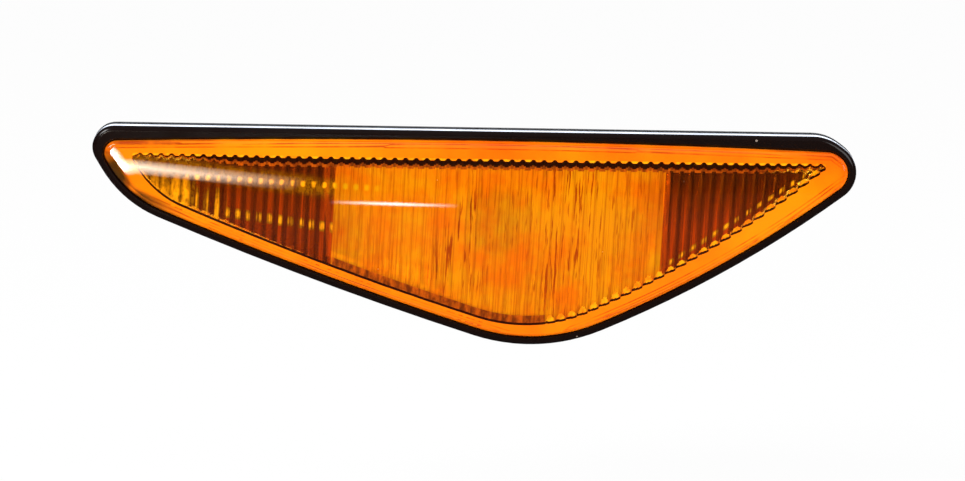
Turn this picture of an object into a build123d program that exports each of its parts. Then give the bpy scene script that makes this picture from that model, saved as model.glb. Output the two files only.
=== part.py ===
from build123d import *
import os
from math import acos, asin, atan2, ceil, cos, degrees, hypot, radians, sin, sqrt, tan

# Side repeater lamp for a car wing: a fluted amber lens in the black rim of a moulded housing, with a
# silvered reflector, a panel gasket and a wedge bulb in a twist-lock holder.
# The lens faces -Y, X runs along the lamp and Z is up. The panel plane is Y = 0, and the origin lies on
# the axis of the bulb holder. All sizes are in millimetres.

# Front outline, as the sharp corners (X, Z) that its five sides would meet in
left_nose_x = -79.3
left_nose_z = 20.65
right_shoulder_x = 62.3
right_shoulder_z = 18.39
right_nose_x = 71.4
right_nose_z = 11.62
keel_x = 7.4
keel_z = -23.3
heel_x = -70.9
heel_z = 6.1
right_flank_radius = 219.0
left_flank_radius = 713.0
left_nose_round = 4.1
right_shoulder_round = 8.5
right_nose_round = 5.5
keel_round = 35.0
heel_round = 22.0
least_round = 0.3

# Depths of the stack on the panel
gasket_thickness = 1.5
gasket_width = 2.7
gasket_lip = 0.15
flange_thickness = 1.5
rim_height = 3.0
rim_width = 1.75
rim_outer_round = 1.0
rim_inner_bevel = 0.3
lens_gap = 0.15

# Lens: a barrel-shaped crown on a skirt, with upright flutes inside the window
lens_top_radius = 2000.0
lens_top_peak_x = -6.0
shoulder_share = 0.85
crown_height = 6.6
crown_radius = 140.0
crown_length_radius = 1200.0
lens_step = 0.3
lens_draft_angle = 20.0
lens_wall = 2.2
skirt_wall = 1.5
window_inset = 4.3
window_top_inset = 5.5
pad_height = 1.4
flute_pitch = 2.0
flute_swell = 0.2
flute_lean = 3.5

# Housing: a shallow tray behind the lens and a deep box behind the reflector
tray_wall = 1.4
tray_left = 60.0
tray_right = 54.0
tray_depth = 5.0
tray_corner_round = 2.0
tray_gap = 0.3
box_wall = 1.6
box_depth = 17.0
box_floor = 2.0
box_corner_round = 3.0
box_edge_bevel = 1.0
rib_thickness = 1.2
rib_reach = 11.0
rib_spacing = 8.0
rib_centre_z = 4.5

# Fixings on the panel
panel_thickness = 2.5
panel_play = 0.2
hook_reach = 4.5
hook_thickness = 2.0
hook_width = 6.0
hook_z = 11.5
tongue_thickness = 1.2
tongue_slot = 3.8
tongue_length = 8.0
tongue_width = 6.0
tongue_z = 9.5
catch_reach = 2.6
catch_length = 4.5

# Reflector: a trough of flat strips
reflector_half = 31.3
reflector_front = -4.5
reflector_back_gap = 0.3
reflector_wall = 1.2
reflector_flat = 14.0
reflector_strips = 6
reflector_gap = 0.6
bulb_hole = 13.0
post_x = 11.5
post_z = 9.0
post_width = 3.6
stake_diameter = 2.0
stake_height = 0.6
stake_gap = 0.1

# Twist lock between the holder and the housing
plug_diameter = 18.6
bore_gap = 0.2
lug_reach = 1.9
lug_angle = 30.0
lug_length = 2.0
lug_play = 0.3
lug_count = 3
slot_angle_gap = 4.0
slot_angle = 90.0
lock_turn = 45.0
seal_width = 2.2
seal_thickness = 1.6
seal_play = 0.1

# Bulb holder behind the housing
holder_flange = 2.0
grip_thickness = 3.0
grip_length = 9.0
grip_round = 1.0
shroud_width = 17.0
shroud_height = 13.0
shroud_wall = 1.4
shroud_round = 1.5
shroud_length = 15.0
shroud_depth = 10.0
bulb_well = 11.2
blade_width = 2.8
blade_thickness = 0.8
blade_spacing = 6.0
blade_length = 7.0
blade_jog = 1.8
key_width = 2.0
key_height = 0.8

# Wedge bulb
glass_diameter = 10.3
glass_wall = 0.6
glass_tip = -3.0
wedge_length = 8.6
wedge_width = 9.5
wedge_thickness = 2.1
wedge_round = 0.5
wedge_side_gap = 0.2
wedge_end_gap = 1.0
bulb_length = 26.8
seat_gap = 0.6
tip_radius = 3.2
tip_length = 2.2
lead_diameter = 0.5
lead_spacing = 4.6
lead_turn = 0.4
lead_fold = 6.0
lead_face_gap = 0.05
contact_gap = 0.05
filament_diameter = 0.5
filament_depth = 6.0

# Places worked out from the sizes above
corners = [
    (left_nose_x, left_nose_z),
    (right_shoulder_x, right_shoulder_z),
    (right_nose_x, right_nose_z),
    (keel_x, keel_z),
    (heel_x, heel_z),
]
rounds = [left_nose_round, right_shoulder_round, right_nose_round, keel_round, heel_round]
side_bows = [0, 0, 1 / right_flank_radius, 1 / left_flank_radius, 0]
top_drop = (right_shoulder_x - lens_top_peak_x) ** 2 / (2 * lens_top_radius)
flange_back = -gasket_thickness
flange_front = flange_back - flange_thickness
rim_front = flange_front - rim_height
crown_front = flange_front - crown_height
tray_inset = gasket_width + tray_gap
box_half = reflector_half + reflector_wall + reflector_gap
box_front = box_depth - box_floor
seal_front = box_depth + seal_play
flange_seat = seal_front + seal_thickness
holder_back = flange_seat + holder_flange
lug_back = box_front - lug_play
lug_front = lug_back - lug_length
reflector_floor = lug_front - reflector_back_gap - reflector_wall
plug_radius = plug_diameter / 2
bore_radius = plug_radius + bore_gap
lug_radius = plug_radius + lug_reach
slot_radius = lug_radius + bore_gap
seal_radius = slot_radius + seal_width
bulb_back = glass_tip + bulb_length
wedge_front = bulb_back - wedge_length
well_floor = wedge_front
slot_back = bulb_back + wedge_end_gap
shroud_back = holder_back + shroud_length
shroud_floor = shroud_back - shroud_depth
lead_level = wedge_thickness / 2 + lead_face_gap + lead_diameter / 2
contact_near = lead_level + lead_diameter / 2 + contact_gap
contact_far = contact_near + blade_thickness
far_reach = 4 * (abs(left_nose_x) + abs(right_nose_x))


def slab(face, front, back):
    """A face drawn in X and Z, made solid from Y = front to Y = back."""
    return extrude(Plane.XZ.offset(-back) * face, amount=back - front)


def block(x_low, x_high, front, back, z_low, z_high):
    """A plain rectangular solid between six planes."""
    size = (x_high - x_low, back - front, z_high - z_low)
    middle = ((x_low + x_high) / 2, (front + back) / 2, (z_low + z_high) / 2)
    return Pos(*middle) * Box(*size)


def inner_side(start, end, inset):
    """Half plane on the right of the line from start to end, moved inwards by inset."""
    angle = degrees(atan2(end[1] - start[1], end[0] - start[0]))
    return Pos(*start) * Rot(0, 0, angle) * Pos(0, -inset - far_reach / 2) * Rectangle(far_reach, far_reach)


def flank(start, end, radius, inset):
    """Disc whose edge bows outwards from start to end, made smaller by inset."""
    run_x = end[0] - start[0]
    run_z = end[1] - start[1]
    run = hypot(run_x, run_z)
    rise = sqrt(radius**2 - (run / 2) ** 2)
    centre_x = (start[0] + end[0]) / 2 + rise * run_z / run
    centre_z = (start[1] + end[1]) / 2 - rise * run_x / run
    return Pos(centre_x, centre_z) * Circle(radius - inset)


def top_bow(inset):
    """Disc that gives the lens its gently arched top edge."""
    slope = atan2(right_shoulder_z - left_nose_z, right_shoulder_x - left_nose_x)
    peak_z = left_nose_z + (lens_top_peak_x - left_nose_x) * sin(slope) / cos(slope)
    drop = lens_top_radius + inset
    return Pos(lens_top_peak_x + drop * sin(slope), peak_z - drop * cos(slope)) * Circle(lens_top_radius)


def fitted_rounds(inset, bowed):
    """Corner radii at this inset, made smaller where two neighbours would need more than their side has.

    An arched top edge lowers the right shoulder, whose round then gets only what is left of the end side.
    """
    count = len(corners)
    sides = [Vector(*corners[(i + 1) % count]) - Vector(*corners[i]) for i in range(count)]
    leans = [asin(side.length * bow / 2) for side, bow in zip(sides, side_bows)]
    turns = [radians(sides[i - 1].get_angle(sides[i])) - leans[i - 1] - leans[i] for i in range(count)]
    slopes = [tan(turn / 2) for turn in turns]
    lengths = [sides[i].length - inset * (slopes[i] + slopes[(i + 1) % count]) for i in range(count)]
    radii = [max(radius - inset, least_round) for radius in rounds]
    needs = [radius * slope for radius, slope in zip(radii, slopes)]
    shares = [lengths[i] / (needs[i] + needs[(i + 1) % count]) for i in range(count)]
    radii = [min(1, shares[i - 1], shares[i]) * radii[i] for i in range(count)]
    if bowed:
        room = lengths[1] - radii[2] * slopes[2] - top_drop / sin(turns[1])
        radii[1] = min(radii[1], shoulder_share * room / slopes[1])
    return radii


def outline(inset, bowed=False):
    """The lamp's front outline moved inwards, with its five corners rounded to suit."""
    left_nose, right_shoulder, right_nose, keel, heel = corners
    face = inner_side(left_nose, right_shoulder, inset)
    face &= inner_side(right_shoulder, right_nose, inset)
    face &= flank(right_nose, keel, right_flank_radius, inset)
    face &= flank(keel, heel, left_flank_radius, inset)
    face &= inner_side(heel, left_nose, inset)
    if bowed:
        face &= top_bow(inset)
    for corner, radius in zip(corners, fitted_rounds(inset, bowed)):
        if radius > least_round:
            point = face.vertices().sort_by_distance((*corner, 0))[0]
            face = fillet(point, radius)
    return face


def window():
    """Outline of the fluted window, which stays further from the top edge than from the others."""
    return outline(window_inset) & inner_side(corners[0], corners[1], window_top_inset)


def on_crown(radius, along, depth):
    """Depth Y of a crown arc of this radius, along from its top and depth under the front of the lens."""
    return crown_front + radius - sqrt((radius - depth) ** 2 - along**2)


def crown(depth):
    """Solid behind the barrel surface that lies depth under the front of the lens."""
    tall = left_nose_z - keel_z
    half = max(-left_nose_x, right_nose_x)
    axis_y = crown_front + crown_length_radius
    edge_y = on_crown(crown_radius, tall, depth)
    arc = ThreePointArc((0, edge_y, -tall), (0, crown_front + depth, 0), (0, edge_y, tall))
    sides = Polyline((0, edge_y, tall), (0, axis_y, tall), (0, axis_y, -tall), (0, edge_y, -tall))
    half_turn = degrees(asin(half / crown_length_radius))
    axis = Axis((0, axis_y, 0), (0, 0, 1))
    section = make_face([arc, sides]).rotate(axis, -half_turn)
    return revolve(section, axis, 2 * half_turn)


def fluted_block():
    """Solid in front of the row of leaning flutes, each a shallow arc that swells towards the bulb."""
    count = ceil(max(-left_nose_x, right_nose_x) / flute_pitch)
    valley = lens_wall + pad_height

    def point(step, depth):
        return (step * flute_pitch, on_crown(crown_length_radius, step * flute_pitch, depth))

    edges = []
    for step in range(-count, count):
        middle = point(step + 0.5, valley + flute_swell)
        edges.append(ThreePointArc(point(step, valley), middle, point(step + 1, valley)))
    first = point(-count, valley)
    last = point(count, valley)
    edges.append(Polyline(last, (last[0], crown_front), (first[0], crown_front), first))
    tall = left_nose_z - keel_z
    return extrude(make_face(edges), amount=tall, both=True).rotate(Axis.Y, flute_lean)


def make_lens():
    """Crowned lens with drafted sides above the rim, a skirt and a fluted pad inside the window."""
    edge = outline(rim_width, bowed=True)
    shoulder = rim_front - lens_step
    body = slab(edge, shoulder, flange_front)
    rise = shoulder - crown_front
    body += extrude(Plane.XZ.offset(-shoulder) * edge, amount=rise, taper=lens_draft_angle)
    body &= crown(0)
    hollow = slab(outline(rim_width + skirt_wall, bowed=True), crown_front, flange_front) & crown(lens_wall)
    pad = slab(window(), crown_front, flange_front) & fluted_block()
    return body - (hollow - pad)


def make_gasket():
    """Flat foam ring between the housing and the panel."""
    ring = outline(-gasket_lip) - outline(gasket_width)
    return slab(ring, flange_back, 0)


def span(x_low, x_high):
    """Upright band of the XZ plane between two X places."""
    return Pos((x_low + x_high) / 2, 0) * Rectangle(x_high - x_low, far_reach)


def ring_sector(inner, outer, middle, arc):
    """Piece of a flat ring about the holder's axis, arc degrees wide and centred on the angle middle."""
    reach = 2 * outer
    low = radians(middle - arc / 2)
    high = radians(middle + arc / 2)
    low_end = (reach * cos(low), reach * sin(low))
    high_end = (reach * cos(high), reach * sin(high))
    return (Circle(outer) - Circle(inner)) & Polygon((0, 0), low_end, high_end, align=None)


def cut_square(inset, x_low, x_high, radius):
    """Outline inset by inset and cut off upright at two X places, with the four new corners rounded."""
    face = outline(inset) & span(x_low, x_high)
    ends = face.vertices().group_by(Axis.X)
    return fillet(ends[0] + ends[-1], max(radius, least_round))


def tray_outline(inset):
    """Outline of the tray behind the flange, moved inwards by inset."""
    return cut_square(tray_inset + inset, inset - tray_left, tray_right - inset, tray_corner_round - inset)


def box_outline(inset):
    """Outline of the deep box behind the reflector, moved inwards by inset."""
    half = box_half + box_wall - inset
    return cut_square(tray_inset + inset, -half, half, box_corner_round - inset)


def make_rim():
    """Flange on the gasket, with the rounded rim that frames the lens."""
    plate = slab(outline(0), flange_front, flange_back)
    rim = slab(outline(0), rim_front, flange_front)
    rim -= slab(outline(rim_width - lens_gap, bowed=True), rim_front, flange_front)
    front = rim.faces().sort_by(Axis.Y)[0]
    rim = fillet(front.outer_wire().edges(), rim_outer_round)
    front = rim.faces().sort_by(Axis.Y)[0]
    rim = chamfer(front.inner_wires().edges(), rim_inner_bevel)
    return plate + rim


def make_hook():
    """Fixed hook at the left end, which reaches behind the panel."""
    front = panel_thickness + panel_play
    back = front + hook_thickness
    low = hook_z - hook_width / 2
    hook = block(-tray_left - hook_reach, -tray_left + tray_wall, front, back, low, low + hook_width)
    tip = hook.faces().sort_by(Axis.X)[0].edges().filter_by(Axis.Z).sort_by(Axis.Y)[-1]
    return chamfer(tip, hook_thickness / 2)


def make_tongue():
    """Folded spring tongue at the right end, with the catch that snaps behind the panel."""
    inner = tray_right - tongue_thickness
    slot_low = tray_right
    slot_high = slot_low + tongue_slot
    outer = slot_high + tongue_thickness
    bend = tray_depth + tongue_length
    catch_face = panel_thickness + panel_play
    bend_round = tongue_slot / 2 - panel_play
    fold = Pos(inner, panel_play) * Rectangle(outer - inner, bend - panel_play, align=Align.MIN)
    fold = fillet(fold.vertices().group_by(Axis.Y)[-1], bend_round + tongue_thickness)
    slot = Pos(slot_low, 0) * Rectangle(tongue_slot, bend - tongue_thickness, align=Align.MIN)
    slot = fillet(slot.vertices().group_by(Axis.Y)[-1], bend_round)
    root = Pos(inner, 0) * Rectangle(tongue_thickness, tray_depth - tray_wall, align=Align.MIN)
    tip = (outer + catch_reach, catch_face)
    catch = Polygon((outer, catch_face), tip, (outer, catch_face + catch_length), align=None)
    strip = fold - slot - root + catch
    return extrude(Pos(0, 0, tongue_z - tongue_width / 2) * strip, amount=tongue_width)


def make_ribs():
    """Gussets that brace the deep box against the back of the tray."""
    root = box_half + box_wall / 2
    reach = box_wall / 2 + rib_reach
    foot = tray_depth - tray_wall / 2
    top = tray_depth + rib_reach
    slope = [(reach, tray_depth), (box_wall / 2, top)]
    profile = Polygon((0, foot), (reach, foot), *slope, (0, top), align=None)
    ribs = []
    for level in (-1, 1):
        z_low = rib_centre_z + level * rib_spacing / 2 - rib_thickness / 2
        rib = extrude(Pos(root, 0, z_low) * profile, amount=rib_thickness)
        ribs += [rib, rib.mirror(Plane.YZ)]
    return ribs


def post_places():
    """The four posts under the reflector, as (X, Z)."""
    return [(side * post_x, level * post_z) for side in (-1, 1) for level in (-1, 1)]


def make_housing():
    """Black moulding: rim, flange, tray, deep box with the bayonet bore, hook, tongue and posts."""
    tray = slab(tray_outline(0), flange_back, tray_depth)
    box = slab(box_outline(0), flange_back, box_depth)
    box = chamfer(box.faces().sort_by(Axis.Y)[-1].edges(), box_edge_bevel)
    shell = make_rim() + tray + box
    for piece in [make_hook(), make_tongue(), *make_ribs()]:
        shell += piece
    shell -= slab(tray_outline(tray_wall), flange_front, tray_depth - tray_wall)
    shell -= slab(box_outline(box_wall), flange_front, box_front)
    shell -= slab(Circle(bore_radius), box_front, box_depth)
    for index in range(lug_count):
        angle = slot_angle + index * 360 / lug_count
        slot = ring_sector(bore_radius / 2, slot_radius, angle, lug_angle + slot_angle_gap)
        shell -= slab(slot, box_front, box_depth)
    seat = reflector_floor + reflector_wall
    for x_middle, z_middle in post_places():
        shell += slab(Pos(x_middle, z_middle) * Rectangle(post_width, post_width), seat, box_front)
        if x_middle * z_middle > 0:
            stake = Pos(x_middle, z_middle) * Circle(stake_diameter / 2)
            shell += slab(stake, reflector_floor - stake_height, seat)
    return shell


def trough_points(grow):
    """Corners (X, Y) of the reflector's strips on an ellipse with a flat middle, from left to right."""
    reach = reflector_half + grow
    rise = reflector_floor - reflector_front + grow
    last = acos(reflector_flat / reflector_half)
    right = []
    for index in range(reflector_strips + 1):
        angle = last * index / reflector_strips
        right.append((reach * cos(angle), reflector_front + rise * sin(angle) / sin(last)))
    return [(-x, y) for x, y in right] + right[::-1]


def make_reflector():
    """Silvered bowl of upright strips with a flat middle round the bulb, closed above and below."""
    tall = left_nose_z - keel_z
    deep = reflector_floor + reflector_wall
    edge = tray_inset + box_wall + reflector_gap
    bowl = extrude(Polygon(*trough_points(reflector_wall), align=None), amount=tall, both=True)
    bowl &= slab(outline(edge), reflector_front, deep)
    cavity = extrude(Polygon(*trough_points(0), align=None), amount=tall, both=True)
    bowl -= cavity & slab(outline(edge + reflector_wall), reflector_front, deep)
    bowl -= slab(Circle(bulb_hole / 2), reflector_front, deep)
    for x_middle, z_middle in post_places():
        if x_middle * z_middle > 0:
            hole = Pos(x_middle, z_middle) * Circle(stake_diameter / 2 + stake_gap)
            bowl -= slab(hole, reflector_floor, deep)
    return bowl


def terminal(side):
    """Brass strip from the bulb's lead to its blade in the connector, above (1) or below (-1) the wedge."""
    jog_front = slot_back
    blade_front = jog_front + blade_jog
    half = blade_thickness / 2
    blade_back = shroud_floor + blade_length
    shape = Polygon(
        (well_floor, contact_near),
        (jog_front, contact_near),
        (blade_front, -half),
        (blade_back, -half),
        (blade_back, half),
        (blade_front + half, half),
        (jog_front + half, contact_far),
        (well_floor, contact_far),
        align=None,
    )
    x_middle = -side * blade_spacing / 2
    strip = extrude(Plane.YZ.offset(x_middle - blade_width / 2) * shape, amount=blade_width)
    return strip if side > 0 else strip.mirror(Plane.XY)


def make_holder():
    """Twist-lock holder: plug with three lugs, sealing flange, grip wings and connector shroud."""
    body = slab(Circle(plug_radius), lug_front, flange_seat)
    body += slab(Circle(seal_radius), flange_seat, holder_back)
    for index in range(lug_count):
        angle = slot_angle + lock_turn + index * 360 / lug_count
        lug = ring_sector(plug_radius / 2, lug_radius, angle, lug_angle)
        body += slab(lug, lug_front, lug_back)
    wings = fillet(Rectangle(2 * seal_radius, grip_thickness).vertices(), grip_round)
    body += slab(wings, holder_back, holder_back + grip_length)
    shroud = RectangleRounded(shroud_width, shroud_height, shroud_round)
    body += slab(shroud, holder_back, shroud_back)
    key = Pos(0, shroud_height / 2) * Rectangle(key_width, 2 * key_height)
    body += slab(key, holder_back + shroud_length / 2, shroud_back)
    cavity = Rectangle(shroud_width - 2 * shroud_wall, shroud_height - 2 * shroud_wall)
    body -= slab(cavity, shroud_floor, shroud_back)
    body -= slab(Circle(bulb_well / 2), lug_front, well_floor)
    wedge_slot = Rectangle(wedge_width + 2 * wedge_side_gap, 2 * contact_far)
    body -= slab(wedge_slot, well_floor, slot_back)
    return body - terminal(1) - terminal(-1)


def make_seal():
    """Flat rubber ring between the holder's flange and the back of the housing."""
    ring = Circle(seal_radius) - Circle(plug_radius)
    return slab(ring, seal_front, flange_seat)


def turned_glass(profile):
    """Solid turned about the bulb's axis from points (radius, Y)."""
    return revolve(Polygon(*profile, align=None), Axis.Y)


def lead_wire(side):
    """Bulb lead: out through the wedge and folded back along its upper (1) or lower (-1) face."""
    x_middle = -side * lead_spacing / 2
    outer_z = side * lead_level
    turn_y = bulb_back + lead_turn
    path = Polyline(
        (x_middle, filament_depth, 0),
        (x_middle, turn_y, 0),
        (x_middle, turn_y, outer_z),
        (x_middle, turn_y - lead_fold, outer_z),
    )
    start = Plane(origin=(x_middle, filament_depth, 0), z_dir=(0, 1, 0))
    return sweep(start * Circle(lead_diameter / 2), path=path, transition=Transition.RIGHT)


def make_glass():
    """Clear wedge bulb: thin envelope with a blunt tip, closed by a solid pinch round the leads."""
    radius = glass_diameter / 2
    inner = radius - glass_wall
    tip_back = glass_tip + tip_length
    side_back = wedge_front - seat_gap
    floor_front = side_back - glass_wall
    outside = [(0, glass_tip), (tip_radius, glass_tip), (radius, tip_back)]
    outside += [(radius, side_back), (0, side_back)]
    inside = [(0, tip_back), (inner, tip_back), (inner, floor_front), (0, floor_front)]
    pinch = RectangleRounded(wedge_width, wedge_thickness, wedge_round)
    glass = turned_glass(outside) + slab(pinch, side_back, bulb_back) - turned_glass(inside)
    for side in (-1, 1):
        channel = Pos(side * lead_spacing / 2, 0) * Circle(lead_diameter / 2)
        glass -= slab(channel, floor_front, bulb_back)
    return glass


def make_filament():
    """Tungsten coil between the tips of the two leads, as a plain rod."""
    reach = lead_spacing / 2
    rod = Plane.YZ * Pos(filament_depth + lead_diameter, 0) * Circle(filament_diameter / 2)
    return extrude(rod, amount=reach, both=True) - lead_wire(1) - lead_wire(-1)


parts = {
    "lens": make_lens(),
    "housing": make_housing(),
    "reflector": make_reflector(),
    "body_gasket": make_gasket(),
    "bulb_holder": make_holder(),
    "holder_seal": make_seal(),
    "terminal_upper": terminal(1),
    "terminal_lower": terminal(-1),
    "bulb_glass": make_glass(),
    "filament": make_filament(),
    "lead_wire_upper": lead_wire(1),
    "lead_wire_lower": lead_wire(-1),
}

os.makedirs("parts", exist_ok=True)
for name, solid in parts.items():
    export_step(solid, f"parts/{name}.step")
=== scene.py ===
"""Studio scene of an amber side repeater lamp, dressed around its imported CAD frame.

Everything is in metres in the frame's own axes: X along the lamp, Z up, and the lens faces -Y.
The lens values below are the CAD source's own, in millimetres.
"""

import math

import bmesh
import bpy
import numpy as np
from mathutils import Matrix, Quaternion, Vector
from mathutils.geometry import delaunay_2d_cdt


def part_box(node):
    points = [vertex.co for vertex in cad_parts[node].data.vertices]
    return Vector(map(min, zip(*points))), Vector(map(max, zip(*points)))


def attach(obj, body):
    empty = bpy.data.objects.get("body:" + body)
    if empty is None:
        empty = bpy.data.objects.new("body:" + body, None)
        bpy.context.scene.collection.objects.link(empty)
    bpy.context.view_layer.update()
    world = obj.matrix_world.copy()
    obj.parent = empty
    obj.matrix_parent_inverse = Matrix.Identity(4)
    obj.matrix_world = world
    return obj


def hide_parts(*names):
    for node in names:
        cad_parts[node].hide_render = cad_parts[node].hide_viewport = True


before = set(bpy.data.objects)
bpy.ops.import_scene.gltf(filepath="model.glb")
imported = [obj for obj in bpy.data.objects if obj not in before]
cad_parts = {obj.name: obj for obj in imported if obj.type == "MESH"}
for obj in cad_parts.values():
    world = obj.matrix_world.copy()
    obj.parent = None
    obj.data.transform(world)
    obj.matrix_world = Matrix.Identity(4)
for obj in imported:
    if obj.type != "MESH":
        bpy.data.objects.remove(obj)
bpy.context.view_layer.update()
MM = 0.001

# Front outline: sharp corners (X, Z), flank radii and corner rounds
LEFT_NOSE = (-79.3, 20.65)
RIGHT_SHOULDER = (62.3, 18.39)
RIGHT_NOSE = (71.4, 11.62)
KEEL = (7.4, -23.3)
HEEL = (-70.9, 6.1)
RIGHT_FLANK_RADIUS = 219.0
LEFT_FLANK_RADIUS = 713.0
KEEL_ROUND = 35.0
HEEL_ROUND = 22.0
CORNERS = [RIGHT_SHOULDER, RIGHT_NOSE, KEEL, HEEL, LEFT_NOSE]
ROUNDS = [5.95, 5.5, KEEL_ROUND, HEEL_ROUND, 4.1]

# Lens
RIM_WIDTH = 1.75
RIM_FRONT = -6.0
LENS_BACK = -3.0
CROWN_FRONT = -9.6
CROWN_RADIUS = 140.0
CROWN_LENGTH_RADIUS = 1200.0
TOP_RADIUS = 2000.0
TOP_PEAK_X = -6.0
SHOULDER_Y = RIM_FRONT - 0.3
LENS_DRAFT = 20.0
LENS_EDGE_SOFTNESS = 0.8
NOSE_SOFTNESS = 2.0
NOSE_FROM = -60.0
NOSE_RUN = 12.0
LENS_WALL = 2.2
SKIRT_WALL = 1.5
SHELF = 0.15
RING_GAP = 0.05

# Window with the flutes; LIT_HALF is half the width that the reflector lights
WINDOW_INSETS = (4.6, 4.5, 3.8, 5.9)
WINDOW_ROUNDS = [0.5, 0.5, KEEL_ROUND - WINDOW_INSETS[1], HEEL_ROUND - WINDOW_INSETS[2], 0.8]
WINDOW_RIGHT_CENTRE = (-65.1, 171.4)
WINDOW_RIGHT_RADIUS = 203.7
WINDOW_TOP_INSET = 5.15
PAD_HEIGHT = 1.1
FLUTE_PITCH = 2.0
FLUTE_SWELL = 0.22
FLUTE_CROWN_RADIUS = 180.0
FLUTE_LEAN = math.radians(3.5)
LEAN_COS, LEAN_SIN = math.cos(FLUTE_LEAN), math.sin(FLUTE_LEAN)
STEPPED_FROM = 10.0
STEP_SHARE = 0.4
LIT_HALF = 31.0

# Fineness of the lens mesh
EDGE_STEP = 0.8
WINDOW_STEP = 0.3
ARC_TURN = 0.07
NEWTON_STEPS = 40
WELD = 1e-7
ROLL_DEPTHS = (0.0, 0.08, 0.18, 0.32, 0.5, 0.75, 1.1, 1.6)
FACE_X = np.arange(-80.0, 80.0, 1.6)
FACE_Z = np.arange(-24.0, 22.0, 1.6)
FACE_ROOM = 2.4
BORDER_DEPTHS = (0.3, 0.8, 1.4, 2.0)
WINDOW_GAP = 9.0
FLUTE_STEPS = 10
LINE_MARGIN = 0.2
LINE_NUDGE = 0.01
END_STEPS = np.array([0, 0.1, 0.2, 0.3, 0.42, 0.56, 0.72, 0.9, 1.1, 1.32, 1.56, 1.82, 2.1, 2.4, 2.7])
MIDDLE_STEPS = 14
MIDDLE_ROOM = 0.5


# Outline geometry in the plane of X and Z, in millimetres


def right_of(start, end):
    """Length of the line from start to end, and the unit direction to its right, where the lamp is."""
    run = np.array(end) - np.array(start)
    length = np.linalg.norm(run)
    return length, np.array([run[1], -run[0]]) / length


def straight_side(start, end, inset):
    """Side of the outline along a straight line."""
    _, inward = right_of(start, end)
    return {"point": np.array(start) + inset * inward, "inward": inward}


def round_side(centre, radius):
    """Side of the outline along an arc that bows outwards."""
    return {"centre": np.array(centre), "radius": radius}


def flank(start, end, radius, inset):
    """Bowed side from corner to corner."""
    length, inward = right_of(start, end)
    rise = math.sqrt(radius**2 - (length / 2) ** 2)
    return round_side((np.array(start) + np.array(end)) / 2 + rise * inward, radius - inset)


def top_bow(inset):
    """Gently arched top edge of the lens."""
    slope = math.atan2(RIGHT_SHOULDER[1] - LEFT_NOSE[1], RIGHT_SHOULDER[0] - LEFT_NOSE[0])
    peak_z = LEFT_NOSE[1] + (TOP_PEAK_X - LEFT_NOSE[0]) * math.tan(slope)
    drop = TOP_RADIUS + inset
    centre = (TOP_PEAK_X + drop * math.sin(slope), peak_z - drop * math.cos(slope))
    return round_side(centre, TOP_RADIUS)


def outline_sides(insets, top):
    """The five sides of the outline: the top as given, each other moved inwards by its own inset."""
    end, right, left, heel = insets
    return [
        top,
        straight_side(RIGHT_SHOULDER, RIGHT_NOSE, end),
        flank(RIGHT_NOSE, KEEL, RIGHT_FLANK_RADIUS, right),
        flank(KEEL, HEEL, LEFT_FLANK_RADIUS, left),
        straight_side(HEEL, LEFT_NOSE, heel),
    ]


def inward_at(side, point):
    """Unit direction from a side towards the inside, at a point near it."""
    if "inward" in side:
        return side["inward"]
    towards = side["centre"] - point
    return towards / np.linalg.norm(towards)


def gap_to(side, point):
    """How far inside a side a point lies."""
    if "inward" in side:
        return (point - side["point"]) @ side["inward"]
    return side["radius"] - np.linalg.norm(point - side["centre"])


def room_inside(sides, points):
    """How far inside the nearest side each point lies."""
    return np.min([[gap_to(side, point) for point in points] for side in sides], axis=0)


def corner_centre(first, second, radius, near):
    """Centre of the round that touches two sides, found by Newton steps from the sharp corner."""
    point = np.array(near, float)
    for _ in range(NEWTON_STEPS):
        miss = np.array([gap_to(first, point) - radius, gap_to(second, point) - radius])
        slopes = np.array([inward_at(first, point), inward_at(second, point)])
        point = point - np.linalg.solve(slopes, miss)
    return point


def arc_points(centre, start, end, step):
    """Points on an arc about centre from start to end, the short way round, without the end point."""
    first = math.atan2(*(start - centre)[::-1])
    turn = math.atan2(*(end - centre)[::-1]) - first
    turn = (turn + math.pi) % (2 * math.pi) - math.pi
    radius = np.linalg.norm(start - centre)
    count = max(math.ceil(abs(turn) * radius / step), math.ceil(abs(turn) / ARC_TURN), 1)
    angles = first + turn * np.arange(count) / count
    return centre + radius * np.stack([np.cos(angles), np.sin(angles)], axis=1)


def edge_loop(sides, rounds, step):
    """Closed loop of points along rounded sides, with the inward direction at each point."""
    count = len(sides)
    rounded = []
    for index in range(count):
        first, second = sides[index], sides[(index + 1) % count]
        centre = corner_centre(first, second, rounds[index], CORNERS[index])
        leave = centre - rounds[index] * inward_at(first, centre)
        join = centre - rounds[index] * inward_at(second, centre)
        rounded.append((centre, leave, join))
    points, inwards = [], []
    for index in range(count):
        side, start = sides[index], rounded[index - 1][2]
        centre, leave, join = rounded[index]
        if "inward" in side:
            steps = max(math.ceil(np.linalg.norm(leave - start) / step), 1)
            run = start + (leave - start) * (np.arange(steps) / steps)[:, None]
        else:
            run = arc_points(side["centre"], start, leave, step)
        bend = arc_points(centre, leave, join, step)
        points += [*run, *bend]
        inwards += [inward_at(side, point) for point in run]
        inwards += [(centre - point) / rounds[index] for point in bend]
    return np.array(points), np.array(inwards)


# Lens mesh, in millimetres until it is a Blender mesh


def crown_y(x, z, depth):
    """Depth Y of the barrel surface that lies depth under the front of the lens."""
    section_y = CROWN_FRONT + CROWN_RADIUS - np.sqrt((CROWN_RADIUS - depth) ** 2 - z**2)
    axis_y = CROWN_FRONT + CROWN_LENGTH_RADIUS
    return axis_y - np.sqrt((axis_y - section_y) ** 2 - x**2)


def inner_y(x, z):
    """Depth Y of the inside of the border, kept a little behind the shoulder of the lens."""
    return np.maximum(crown_y(x, z, LENS_WALL), SHOULDER_Y + SHELF)


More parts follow.
